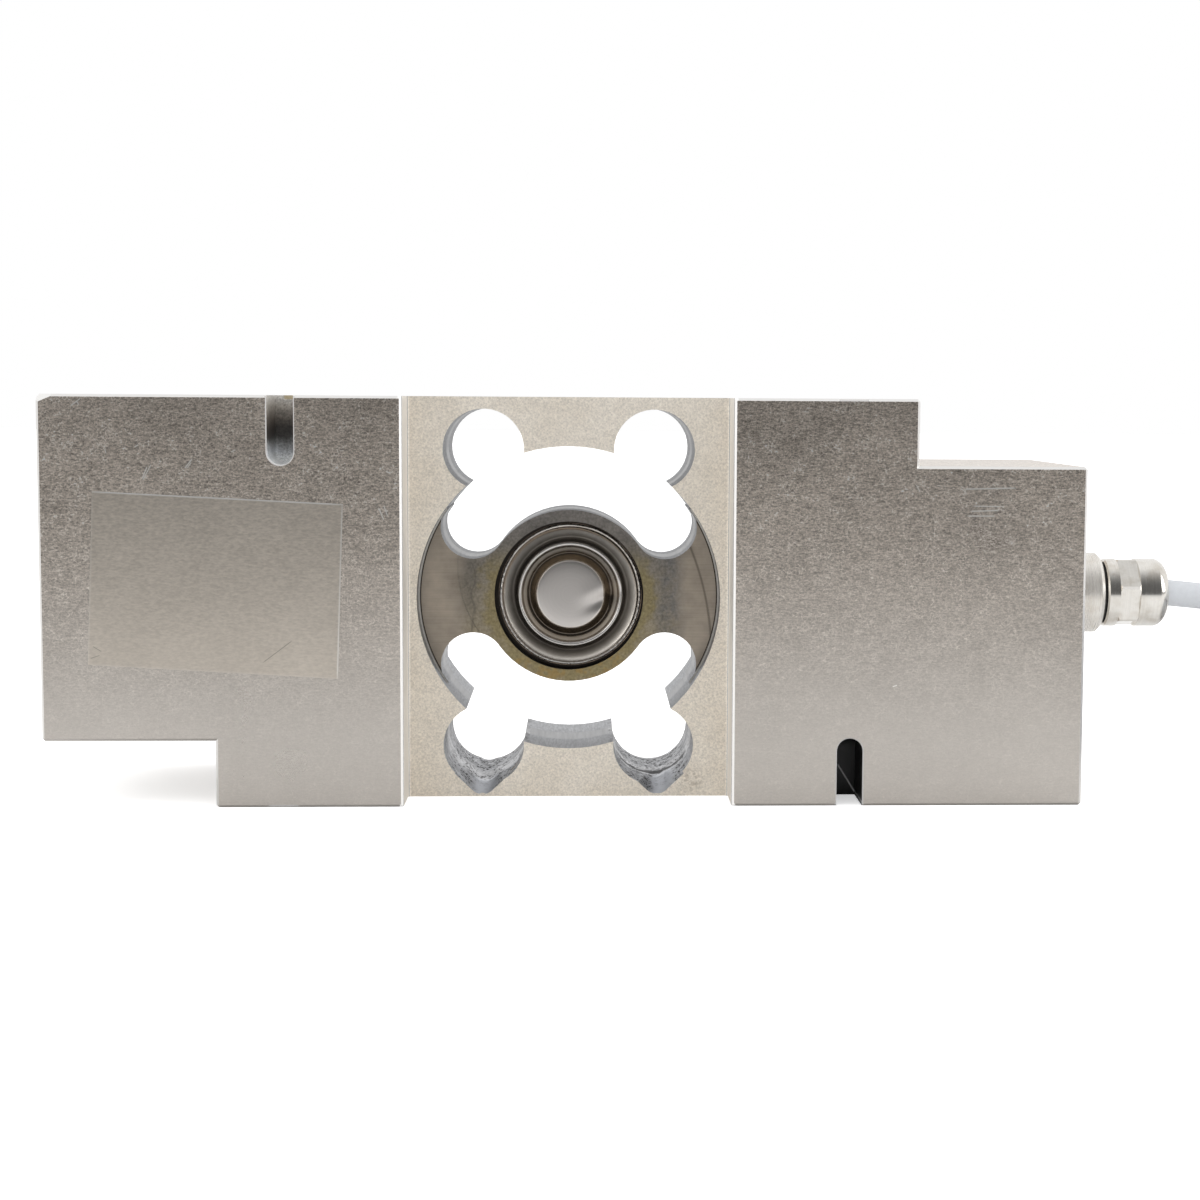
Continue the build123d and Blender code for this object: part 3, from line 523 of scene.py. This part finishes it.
def cup_material():
    g = Graph("cup_metal")
    radius = g.distance(g.sub(g.x, CUP_OFFSET), g.sub(g.z, CUP_Z))
    low_radius = g.distance(g.sub(g.x, CUP_OFFSET), g.sub(g.z, CUP_Z - GROOVE_SHADE_DROP))
    round_marks = g.noise(g.vector(g.mul(radius, 4500.0), 0.0, 0.0), 1.0, 2.0, 0.5)
    blot = g.noise(g.place, 420.0, 3.0, 0.6)
    base = g.ramp(g.mul(radius, 1 / 0.018), [(r / 18.0, colour) for r, colour in CUP_TONES_WITH_PAINTED_LIGHT])
    groove = g.ramp(g.mul(low_radius, 1 / 0.018), [(r / 18.0, colour) for r, colour in GROOVE_TONES_WITH_PAINTED_LIGHT])
    # The groove is painted lighter towards the bottom and right and darker towards the top and left: painted light
    # and shade
    groove = g.tone(groove, g.mul(g.span(g.sub(g.z, CUP_Z), -0.012, 0.012, 1.30, 0.85),
                                  g.span(g.sub(g.x, CUP_OFFSET), -0.013, 0.013, 0.70, 1.10)))
    outer = g.over(radius, 0.0127, 0.0002)
    shelf = g.both(g.over(radius, 0.0103, 0.0002), g.below(radius, 0.0113, 0.0002))
    base = g.mix(outer, base, groove)
    button = g.below(radius, 0.0078, 0.0003)
    colour = g.tone(base, g.add(g.span(round_marks, 0.3, 0.7, 0.95, 1.04),
                                g.mul(g.flip(button), g.span(blot, 0.3, 0.7, -0.09, 0.09))))
    metallic = g.flip(g.either(g.mul(outer, 0.45), g.mul(shelf, 0.30)))
    return g.finish(colour, g.blend(button, 0.24, 0.36), metallic, g.bump(round_marks, 0.000002))


def weld_material():
    g = Graph("weld_bead")
    radius = g.distance(g.sub(g.x, CUP_OFFSET), g.sub(g.z, CUP_Z))
    blot = g.noise(g.place, 900.0, 3.0, 0.6)
    burnt = g.rise(g.noise(g.place, 300.0, 3.0, 0.6), 0.48, 0.66)
    inner = g.below(radius, 0.0164, 0.0002)
    colour = g.tone((0.78, 0.75, 0.71), g.span(blot, 0.3, 0.7, 0.85, 1.1))
    colour = g.mix(g.mul(g.either(g.mul(burnt, 0.45), inner), 0.85), colour, (0.17, 0.12, 0.08))
    return g.finish(colour, g.span(blot, 0.3, 0.7, 0.22, 0.40), 1.0, g.bump(blot, 0.00004))


def foil_material():
    g = Graph("bare_foil")
    grain = g.noise(g.vector(g.mul(g.x, 900.0), g.mul(g.y, 900.0), g.mul(g.z, 2300.0)), 1.0, 2.0, 0.6)
    cloud = g.noise(g.place, 70.0, 3.0, 0.5)
    # The grain is painted stronger higher up: a painted reflection contrast
    height_sheen = g.rise(g.z, 0.012, 0.080)
    amount = g.mul(g.span(grain, 0.3, 0.7, -0.13, 0.20), g.span(height_sheen, 0.0, 1.0, 0.3, 1.0))
    colour = g.tone((0.64, 0.582, 0.510), g.add(1.0, g.add(amount, g.span(cloud, 0.3, 0.7, -0.04, 0.04))))
    # The foil's edges are painted as light lines, strongest along the top edge and the right: a painted highlight
    for start, end, amount in zip(FOIL_CORNERS, FOIL_CORNERS[1:] + FOIL_CORNERS[:1], (0.10, 0.6, 1.0, 0.15)):
        colour = g.mix(g.mul(g.stroke(*start, *end, 0.00030), amount), colour, (1.0, 0.98, 0.95))
    for mark in FOIL_MARKS:
        colour = g.mix(g.mul(g.stroke(*mark), 0.7), colour, (0.26, 0.24, 0.20))
    return g.finish(colour, 0.30, 1.0, g.bump(grain, 0.00001))


def sheath_material(name, colour, roughness):
    g = Graph(name)
    fine = g.noise(g.place, 900.0, 2.0, 0.5)
    cloud = g.noise(g.place, 60.0, 2.0, 0.5)
    shade = g.add(g.span(fine, 0.3, 0.7, 0.97, 1.03), g.span(cloud, 0.3, 0.7, -0.03, 0.03))
    return g.finish(g.tone(colour, shade), roughness, 0.0, g.bump(fine, 0.00002))


def plain_material(name, colour, roughness, metallic=0.0):
    g = Graph(name)
    fine = g.noise(g.place, 800.0, 3.0, 0.6)
    return g.finish(g.tone(colour, g.span(fine, 0.3, 0.7, 0.92, 1.08)),
                    g.span(fine, 0.3, 0.7, max(roughness - 0.06, 0.05), roughness + 0.06), metallic,
                    g.bump(fine, 0.00002))


sheath = sheath_material("cable_sheath", (0.575, 0.595, 0.625), 0.45)
rubber = plain_material("seal_rubber", (0.012, 0.012, 0.012), 0.6)
wear(nodes["spring_body"], block_material())
wear(nodes["gland_adapter"], plated_material("adapter_plate", 0.24, 0.34, 0.6))
wear(nodes["gland_body"], plated_material("nickel_plate", 0.12, 0.20))
wear(nodes["dome_nut"], plated_material("nut_plate", 0.12, 0.20, lit_corner=True))
wear(nodes["adapter_seal"], rubber)
wear(nodes["gland_seal"], rubber)
wear(nodes["clamping_claw"], plain_material("claw_nylon", (0.72, 0.70, 0.64), 0.45))
wear(nodes["cable_entry"], sheath)
for side in ("front", "rear"):
    wear(nodes[side + "_gauge"], plain_material(side + "_gauge_film", (0.62, 0.36, 0.10), 0.25))
    wear(nodes[side + "_terminals"], plain_material(side + "_terminal_laminate", (0.45, 0.33, 0.12), 0.5))
    wear(nodes[side + "_leads"], plain_material(side + "_lead_insulation", (0.5, 0.03, 0.02), 0.35))
wear(nodes["board_carrier"], plain_material("carrier_plastic", (0.75, 0.74, 0.70), 0.5))
wear(nodes["balance_board"], plain_material("board_laminate", (0.02, 0.20, 0.06), 0.3))
wear(nodes["balance_resistors"], plain_material("resistor_ceramic", (0.03, 0.03, 0.035), 0.4))
wear(nodes["inner_cores"], plain_material("core_insulation", (0.7, 0.7, 0.66), 0.35))
wear(nodes["core_ferrules"], plain_material("ferrule_tin", (0.70, 0.70, 0.70), 0.25, 1.0))


# ---- Pieces ----
def mesh_piece(name, points, faces, material, smooth=True):
    mesh = bpy.data.meshes.new(name)
    mesh.from_pydata(points, [], faces)
    mesh.update()
    piece = bpy.data.objects.new(name, mesh)
    scene.collection.objects.link(piece)
    for polygon in mesh.polygons:
        polygon.use_smooth = smooth
    mesh.materials.append(material)
    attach(piece, "root")
    return piece


def curve_piece(name, points, radius, material):
    curve = bpy.data.curves.new(name, "CURVE")
    curve.dimensions = "3D"
    curve.bevel_depth = radius
    curve.bevel_resolution = 5
    curve.resolution_u = 6
    curve.use_fill_caps = True
    line = curve.splines.new("NURBS")
    line.points.add(len(points) - 1)
    for target, point in zip(line.points, points):
        target.co = (*point, 1)
    line.order_u = 3
    line.use_endpoint_u = True
    piece = bpy.data.objects.new(name, curve)
    scene.collection.objects.link(piece)
    curve.materials.append(material)
    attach(piece, "root")
    return piece


# Welded cups: a corrugated disc with a raised button, dented at its lower right on the front.
# The profile gives radius and lift in millimetres.
CUP_PROFILE = [
    (0.0, 0.78), (2.0, 0.775), (4.0, 0.75), (6.0, 0.68), (7.4, 0.55), (8.0, 0.38), (8.35, 0.0), (8.7, -0.60),
    (9.1, -1.20), (9.5, -1.62), (9.85, -1.75), (10.2, -1.55), (10.5, -1.10), (10.8, -0.85), (11.2, -0.45),
    (11.6, -0.02), (11.9, 0.24), (12.15, 0.32), (12.4, 0.18), (12.65, -0.35), (12.9, -1.05), (13.3, -1.62),
    (13.8, -1.72), (14.3, -1.45), (14.9, -0.95), (15.4, -0.50), (15.9, -0.10), (16.5, 0.0), (17.1, 0.0),
]
CUP_AROUND = 160


def smooth_profile(points, steps):
    """A Catmull-Rom line through the profile's points."""
    line = []
    for i in range(len(points) - 1):
        before = Vector(points[max(i - 1, 0)])
        start = Vector(points[i])
        end = Vector(points[i + 1])
        after = Vector(points[min(i + 2, len(points) - 1)])
        for step in range(steps):
            t = step / steps
            line.append(0.5 * (2 * start + (end - before) * t + (2 * before - 5 * start + 4 * end - after) * t * t
                               + (3 * start - before - 3 * end + after) * t ** 3))
    line.append(Vector(points[-1]))
    return line


def cup(name, node, sign, dented):
    line = smooth_profile(CUP_PROFILE, 4)
    points = []
    for radius, lift in line:
        for i in range(CUP_AROUND):
            angle = 2 * math.pi * i / CUP_AROUND
            x = radius * math.cos(angle)
            z = radius * math.sin(angle)
            height = lift
            if dented:
                # The dent is a furrow turned by 28 degrees
                slant_x = x * 0.883 + z * 0.469
                slant_z = z * 0.883 - x * 0.469
                ridge = math.hypot((slant_x - 6.6) / 4.6, (slant_z + 4.7) / 1.9)
                height -= 0.70 * math.exp(-ridge * ridge * 1.3)
                swell = math.hypot((x - 5.6) / 3.2, (z + 0.2) / 2.4)
                height += 0.10 * math.exp(-swell * swell)
            points.append((CUP_OFFSET + x / 1000, -sign * (SEAT_FACE + height / 1000), CUP_Z + z / 1000))
    faces = []
    for ring in range(len(line) - 1):
        for i in range(CUP_AROUND):
            j = (i + 1) % CUP_AROUND
            quad = (ring * CUP_AROUND + i, ring * CUP_AROUND + j,
                    (ring + 1) * CUP_AROUND + j, (ring + 1) * CUP_AROUND + i)
            faces.append(quad if sign < 0 else quad[::-1])
    piece = mesh_piece(name, points, faces, cup_metal)
    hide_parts(node)


def weld(name, sign, seed):
    """A rippled bead round the edge of a cup."""
    around, across = 300, 10
    mean_ring_r, mean_tube_r, mean_lift = 16.55, 0.42, 0.20
    points = []
    for i in range(around):
        angle = 2 * math.pi * i / around
        wobble = noise.noise(Vector((math.cos(angle) * 4, math.sin(angle) * 4, seed)))
        ripple = 0.035 * math.sin(angle * 74 + 2.5 * wobble)
        ring_r = mean_ring_r + 0.08 * wobble
        tube_r = mean_tube_r + ripple + 0.08 * wobble
        for k in range(across):
            phase = 2 * math.pi * k / across
            r = ring_r + tube_r * math.cos(phase)
            lift = mean_lift + tube_r * math.sin(phase)
            points.append((CUP_OFFSET + r * math.cos(angle) / 1000, -sign * (SEAT_FACE + lift / 1000),
                           CUP_Z + r * math.sin(angle) / 1000))
    faces = []
    for i in range(around):
        for k in range(across):
            a = i * across + k
            b = i * across + (k + 1) % across
            c = ((i + 1) % around) * across + (k + 1) % across
            d = ((i + 1) % around) * across + k
            faces.append((a, b, c, d) if sign > 0 else (d, c, b, a))
    return mesh_piece(name, points, faces, weld_metal)


cup_metal = cup_material()
weld_metal = weld_material()
cup("front_cup", "front_diaphragm", 1, True)
cup("rear_cup", "rear_diaphragm", -1, False)
weld("front_weld", 1, 1.0)
weld("rear_weld", -1, 5.0)

# Bare foil patch on the left block
FOIL_THICKNESS = 0.00012
foil_points = [(x, -HALF_DEPTH, z) for x, z in FOIL_CORNERS]
foil_points += [(x, -HALF_DEPTH - FOIL_THICKNESS, z) for x, z in FOIL_CORNERS]
foil_faces = [(4, 5, 6, 7)] + [(i, (i + 1) % 4, (i + 1) % 4 + 4, i + 4) for i in range(4)]
mesh_piece("foil_patch", foil_points, foil_faces, foil_material(), smooth=False)


# ---- Cable ----
TURN_RADII = (0.0461, 0.0395, 0.0329)
LAYER_Z = (0.02305, 0.01655, 0.01005, 0.00355)
STEP_SPAN = 58.0
POINTS_PER_TURN = 20
TAIL_Y = COIL_Y + TURN_RADII[0] - 0.0003
TAIL_Z = 0.0034


def coil_points():
    """Round the coil from above, first layer inwards, the next outwards, and so on down to the tail."""
    first, last = -75.0, 3690.0
    steps = []
    start = 180.0
    for layer in range(4):
        order = (0, 1, 2) if layer % 2 == 0 else (2, 1, 0)
        steps.append((start, "r", TURN_RADII[order[0]], TURN_RADII[order[1]]))
        steps.append((start + 360, "r", TURN_RADII[order[1]], TURN_RADII[order[2]]))
        if layer < 3:
            steps.append((start + 670, "z", LAYER_Z[layer], LAYER_Z[layer + 1]))
        start += 980
    points = []
    angle = first
    while angle < last - 1:
        r, z = TURN_RADII[0], LAYER_Z[0]
        for begin, kind, low, high in steps:
            t = min(max((angle - begin) / STEP_SPAN, 0.0), 1.0)
            t = t * t * (3 - 2 * t)
            if angle >= begin:
                value = low + (high - low) * t
                if kind == "r":
                    r = value
                else:
                    z = value
        a = math.radians(angle)
        points.append((COIL_X + r * math.cos(a), COIL_Y + r * math.sin(a), z))
        angle += 360 / POINTS_PER_TURN
    return points


cable_points = [
    (DOME_END, 0.0, MID_Z),
    (0.155, -0.0002, 0.0466),
    (0.170, -0.0025, 0.0448),
    (0.185, -0.0085, 0.0405),
    (0.199, -0.0170, 0.0350),
    (0.212, -0.0245, 0.03075),
    (0.2202, -0.0286, 0.0285),
    (0.234, -0.0311, 0.0257),
]
cable_points += coil_points()
cable_points += [
    (COIL_X, COIL_Y + TURN_RADII[0], TAIL_Z),
    (COIL_X - 0.008, COIL_Y + TURN_RADII[0] - 0.0001, TAIL_Z),
    (COIL_X - 0.016, TAIL_Y, TAIL_Z),
    (TAIL_END_X, TAIL_Y, TAIL_Z),
]
cable = curve_piece("cable_run", cable_points, CABLE_R, sheath)
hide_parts("cable", "cable_coil")

# Ties that hold the coil: thin bands round the bundle
TIE_ANGLES = (45.0, 165.0, 285.0)
TIE_HALF_WIDTH = 0.0012
TIE_THICKNESS = 0.0005
TIE_MARGIN = 0.0001
tie_nylon = plain_material("tie_nylon", (0.03, 0.03, 0.032), 0.4)


def tie(name, angle):
    """A flat loop round the coil's section, with rounded corners."""
    low_r = TURN_RADII[-1] - CABLE_R - TIE_MARGIN
    high_r = TURN_RADII[0] + CABLE_R + TIE_MARGIN
    low_z = TIE_THICKNESS
    high_z = LAYER_Z[0] + CABLE_R + TIE_MARGIN
    round_r = CABLE_R
    loop = []
    for r, z, start in ((high_r - round_r, high_z - round_r, 0), (low_r + round_r, high_z - round_r, 90),
                        (low_r + round_r, low_z + round_r, 180), (high_r - round_r, low_z + round_r, 270)):
        for step in range(7):
            turn = math.radians(start + 15 * step)
            loop.append((r, z, math.cos(turn), math.sin(turn)))
    a = math.radians(angle)
    points = []
    for r, z, out_r, out_z in loop:
        for reach, side in ((round_r, -1), (round_r + TIE_THICKNESS, -1), (round_r + TIE_THICKNESS, 1), (round_r, 1)):
            radius = r + reach * out_r
            offset = side * TIE_HALF_WIDTH
            points.append((COIL_X + radius * math.cos(a) - offset * math.sin(a),
                           COIL_Y + radius * math.sin(a) + offset * math.cos(a), z + reach * out_z))
    faces = []
    count = len(loop)
    for i in range(count):
        j = (i + 1) % count
        for k in range(4):
            m = (k + 1) % 4
            faces.append((i * 4 + k, i * 4 + m, j * 4 + m, j * 4 + k))
    return mesh_piece(name, points, faces, tie_nylon, smooth=False)


for i, angle in enumerate(TIE_ANGLES):
    tie("coil_tie_%d" % (i + 1), angle)

CORE_COLOURS = [("red", (0.55, 0.02, 0.02)), ("black", (0.012, 0.012, 0.012)), ("green", (0.02, 0.28, 0.07)),
                ("white", (0.78, 0.78, 0.76)), ("blue", (0.02, 0.08, 0.42)), ("yellow", (0.72, 0.55, 0.03))]
CORE_R = 0.0006
CORE_CIRCLE_R = 0.0019
FERRULE_R = 0.0009
core_turns = [2 * math.pi * i / 6 for i in range(6)]
core_places = sorted([(round(CORE_CIRCLE_R * math.cos(t), 6), CORE_CIRCLE_R * math.sin(t)) for t in core_turns])
for i, ((core_y, core_lift), (colour_name, colour)) in enumerate(zip(core_places, CORE_COLOURS)):
    end_y = TAIL_Y - 0.004 + (i - 2.5) * 0.0026
    core = curve_piece("core_" + colour_name, [
        (TAIL_END_X + 0.002, TAIL_Y + core_y, TAIL_Z + core_lift),
        (TAIL_END_X - 0.005, TAIL_Y + core_y, TAIL_Z + core_lift),
        (TAIL_END_X - 0.011, TAIL_Y + core_y * 0.5 + (end_y - TAIL_Y) * 0.5, (TAIL_Z + core_lift) * 0.6 + 0.0004),
        (TAIL_END_X - 0.017, end_y, FERRULE_R),
        (TAIL_END_X - 0.022, end_y, FERRULE_R),
    ], CORE_R, plain_material("core_skin_" + colour_name, colour, 0.35))
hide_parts("cable_cores")


# ---- Floor, world and lamps ----
floor_mesh = bpy.data.meshes.new("floor")
FLOOR_REACH = 6.0
floor_corners = [(x * FLOOR_REACH, y * FLOOR_REACH, 0) for x, y in ((-1, -1), (1, -1), (1, 1), (-1, 1))]
floor_mesh.from_pydata(floor_corners, [], [(0, 1, 2, 3)])
floor = bpy.data.objects.new("floor", floor_mesh)
scene.collection.objects.link(floor)
g = Graph("floor_white")
light_path = g.tree.nodes.new("ShaderNodeLightPath")
shine = light_path.outputs["Is Glossy Ray"]
reflected = g.mix(g.rise(g.y, -1.00, -0.02), (0.12, 0.12, 0.12), (0.82, 0.82, 0.82))
g.finish(g.mix(shine, (0.93, 0.93, 0.93), reflected), 0.9)
g.plug(g.shader.inputs["Emission Color"], (1.0, 1.0, 1.0))
g.plug(g.shader.inputs["Emission Strength"], g.mul(light_path.outputs["Is Camera Ray"], 0.5))
g.shader.inputs["Specular IOR Level"].default_value = 0.0
floor_mesh.materials.append(g.material)

world = bpy.data.worlds.new("studio")
scene.world = world
world.use_nodes = True
tree = world.node_tree
tree.nodes.clear()


def world_math(operation, a, b):
    node = tree.nodes.new("ShaderNodeMath")
    node.operation = operation
    for socket, value in zip(node.inputs, (a, b)):
        if isinstance(value, bpy.types.NodeSocket):
            tree.links.new(value, socket)
        else:
            socket.default_value = value
    return node.outputs[0]


def world_rise(value, low, high):
    node = tree.nodes.new("ShaderNodeMapRange")
    node.interpolation_type = "SMOOTHSTEP"
    tree.links.new(value, node.inputs["Value"])
    node.inputs["From Min"].default_value = low
    node.inputs["From Max"].default_value = high
    return node.outputs[0]


sky = tree.nodes.new("ShaderNodeTexCoord")
split = tree.nodes.new("ShaderNodeSeparateXYZ")
tree.links.new(sky.outputs["Generated"], split.inputs[0])
toward_front = world_rise(world_math("MULTIPLY", split.outputs[1], -1.0), -0.20, 0.92)
toward_left = world_rise(world_math("MULTIPLY", split.outputs[0], -1.0), -0.10, 0.25)
depth_of_dark = world_math("SUBTRACT", 0.88, world_math("MULTIPLY", toward_left, 0.05))
path = tree.nodes.new("ShaderNodeLightPath")
dark = world_math("MULTIPLY", toward_front, path.outputs["Is Glossy Ray"])
strength = world_math("SUBTRACT", 1.0, world_math("MULTIPLY", dark, depth_of_dark))
background = tree.nodes.new("ShaderNodeBackground")
background.inputs["Color"].default_value = (1.0, 1.0, 1.0, 1.0)
tree.links.new(strength, background.inputs["Strength"])
world_out = tree.nodes.new("ShaderNodeOutputWorld")
tree.links.new(background.outputs[0], world_out.inputs[0])


def softbox(name, place, target, width, height, power):
    data = bpy.data.lights.new(name, "AREA")
    data.shape = "RECTANGLE"
    data.size = width
    data.size_y = height
    data.energy = power
    lamp = bpy.data.objects.new(name, data)
    scene.collection.objects.link(lamp)
    lamp.location = place
    lamp.rotation_mode = "QUATERNION"
    lamp.rotation_quaternion = (Vector(target) - Vector(place)).to_track_quat("-Z", "Y")
    return lamp


# The top lamp is kept out of reflections: the surroundings give those, with no hard edge
softbox("top_box", (0.0, -0.10, 1.2), (0, 0, 0.05), 3.0, 2.4, 6.0).visible_glossy = False
softbox("left_box", (-1.0, -0.45, 0.55), (0, 0, 0.05), 0.5, 0.7, 2.5)
softbox("right_box", (1.0, -0.35, 0.45), (0, 0, 0.05), 0.4, 0.7, 2.5)

scene.view_settings.view_transform = "Standard"
